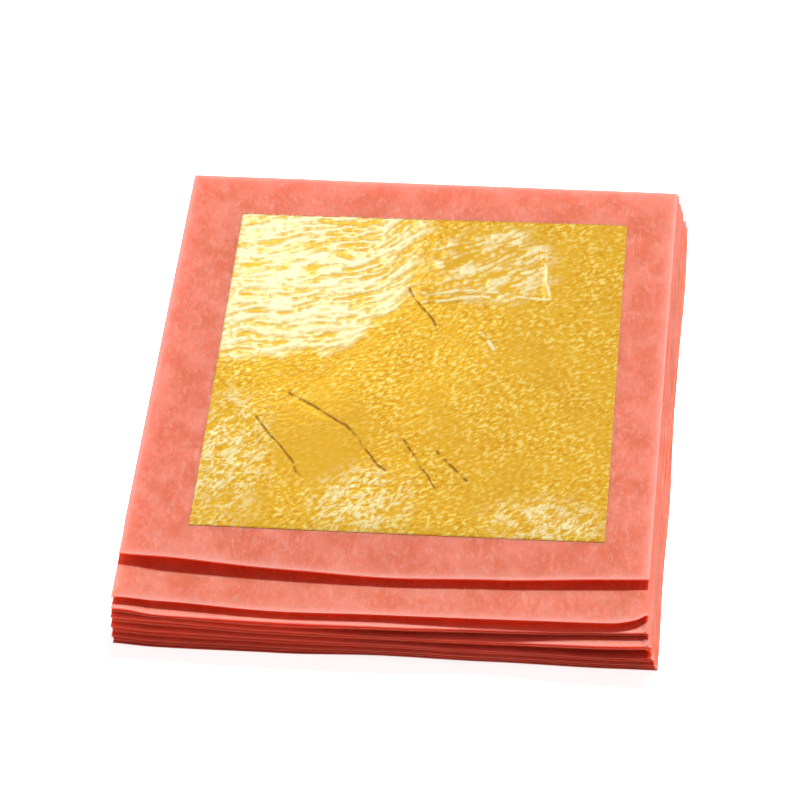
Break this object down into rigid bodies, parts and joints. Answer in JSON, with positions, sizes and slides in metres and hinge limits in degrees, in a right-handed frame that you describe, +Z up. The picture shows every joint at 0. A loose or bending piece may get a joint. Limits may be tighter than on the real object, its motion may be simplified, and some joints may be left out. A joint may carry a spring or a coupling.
{
  "type": "gold leaf booklet",
  "caption": "Loose pile of folded coral tissues holding square gold leaves, with one leaf open on top.",
  "frame": {"origin": "middle of the lowest folded tissue's underside", "axes": "+X towards the creases on the right, +Y towards the back, +Z up from the table through the pile"},
  "size_m": [0.0562, 0.0605, 0.0056],
  "materials": {
    "tissue": "matt, fibrous coral tissue",
    "gold_leaf": "bright beaten metal leaf with fine wrinkles"
  },
  "bodies": {
    "fold_9_lower": {"fold_9_lower": "tissue", "gold_leaf_10": "gold_leaf"},
    "fold_9_upper": {"fold_9_upper": "tissue"},
    "fold_8_lower": {"fold_8_lower": "tissue", "gold_leaf_9": "gold_leaf"},
    "fold_8_upper": {"fold_8_upper": "tissue"},
    "fold_7_lower": {"fold_7_lower": "tissue", "gold_leaf_8": "gold_leaf"},
    "fold_7_upper": {"fold_7_upper": "tissue"},
    "fold_6_lower": {"fold_6_lower": "tissue", "gold_leaf_7": "gold_leaf"},
    "fold_6_upper": {"fold_6_upper": "tissue"},
    "fold_5_lower": {"fold_5_lower": "tissue", "gold_leaf_6": "gold_leaf"},
    "fold_5_upper": {"fold_5_upper": "tissue"},
    "fold_4_lower": {"fold_4_lower": "tissue", "gold_leaf_5": "gold_leaf"},
    "fold_4_upper": {"fold_4_upper": "tissue"},
    "fold_3_lower": {"fold_3_lower": "tissue", "gold_leaf_4": "gold_leaf"},
    "fold_3_upper": {"fold_3_upper": "tissue"},
    "fold_2_lower": {"fold_2_lower": "tissue", "gold_leaf_3": "gold_leaf"},
    "fold_2_upper": {"fold_2_upper": "tissue"},
    "fold_1_lower": {"fold_1_lower": "tissue", "gold_leaf_2": "gold_leaf"},
    "fold_1_upper": {"fold_1_upper": "tissue"},
    "carrier_tissue": {"carrier_tissue": "tissue"},
    "gold_leaf_1": {"gold_leaf_1": "gold_leaf"}
  },
  "joints": [
    {"name": "fold_9_open", "type": "hinge", "parent": "fold_9_lower", "child": "fold_9_upper", "pos_m": [0.02815, 0, 0.00014], "axis": [0, 1, 0], "range_deg": [0, 5]},
    {"name": "fold_8_lift", "type": "slide", "parent": "fold_9_upper", "child": "fold_8_lower", "axis": [0, 0, 1], "range_m": [0, 0.012]},
    {"name": "fold_8_open", "type": "hinge", "parent": "fold_8_lower", "child": "fold_8_upper", "pos_m": [0.02801, 0, 0.00045], "axis": [0, 1, 0], "range_deg": [0, 5]},
    {"name": "fold_7_lift", "type": "slide", "parent": "fold_8_upper", "child": "fold_7_lower", "axis": [0, 0, 1], "range_m": [0, 0.012]},
    {"name": "fold_7_open", "type": "hinge", "parent": "fold_7_lower", "child": "fold_7_upper", "pos_m": [0.02787, 0, 0.00081], "axis": [0, 1, 0], "range_deg": [0, 5]},
    {"name": "fold_6_lift", "type": "slide", "parent": "fold_7_upper", "child": "fold_6_lower", "axis": [0, 0, 1], "range_m": [0, 0.012]},
    {"name": "fold_6_open", "type": "hinge", "parent": "fold_6_lower", "child": "fold_6_upper", "pos_m": [0.02773, 0, 0.00117], "axis": [0, 1, 0], "range_deg": [0, 5]},
    {"name": "fold_5_lift", "type": "slide", "parent": "fold_6_upper", "child": "fold_5_lower", "axis": [0, 0, 1], "range_m": [0, 0.012]},
    {"name": "fold_5_open", "type": "hinge", "parent": "fold_5_lower", "child": "fold_5_upper", "pos_m": [0.02759, 0, 0.00203], "axis": [0, 1, 0], "range_deg": [0, 5]},
    {"name": "fold_4_lift", "type": "slide", "parent": "fold_5_upper", "child": "fold_4_lower", "axis": [0, 0, 1], "range_m": [0, 0.012]},
    {"name": "fold_4_open", "type": "hinge", "parent": "fold_4_lower", "child": "fold_4_upper", "pos_m": [0.02745, 0, 0.00289], "axis": [0, 1, 0], "range_deg": [0, 5]},
    {"name": "fold_3_lift", "type": "slide", "parent": "fold_4_upper", "child": "fold_3_lower", "axis": [0, 0, 1], "range_m": [0, 0.012]},
    {"name": "fold_3_open", "type": "hinge", "parent": "fold_3_lower", "child": "fold_3_upper", "pos_m": [0.02731, 0, 0.00365], "axis": [0, 1, 0], "range_deg": [0, 5]},
    {"name": "fold_2_lift", "type": "slide", "parent": "fold_3_upper", "child": "fold_2_lower", "axis": [0, 0, 1], "range_m": [0, 0.012]},
    {"name": "fold_2_open", "type": "hinge", "parent": "fold_2_lower", "child": "fold_2_upper", "pos_m": [0.02717, 0, 0.00441], "axis": [0, 1, 0], "range_deg": [0, 5]},
    {"name": "fold_1_lift", "type": "slide", "parent": "fold_2_upper", "child": "fold_1_lower", "axis": [0, 0, 1], "range_m": [0, 0.012]},
    {"name": "fold_1_open", "type": "hinge", "parent": "fold_1_lower", "child": "fold_1_upper", "pos_m": [0.02703, 0, 0.00497], "axis": [0, 1, 0], "range_deg": [0, 140]},
    {"name": "carrier_lift", "type": "slide", "parent": "fold_1_upper", "child": "carrier_tissue", "axis": [0, 0, 1], "range_m": [0, 0.02]},
    {"name": "top_leaf_lift", "type": "slide", "parent": "carrier_tissue", "child": "gold_leaf_1", "axis": [0, 0, 1], "range_m": [0, 0.02]}
  ]
}
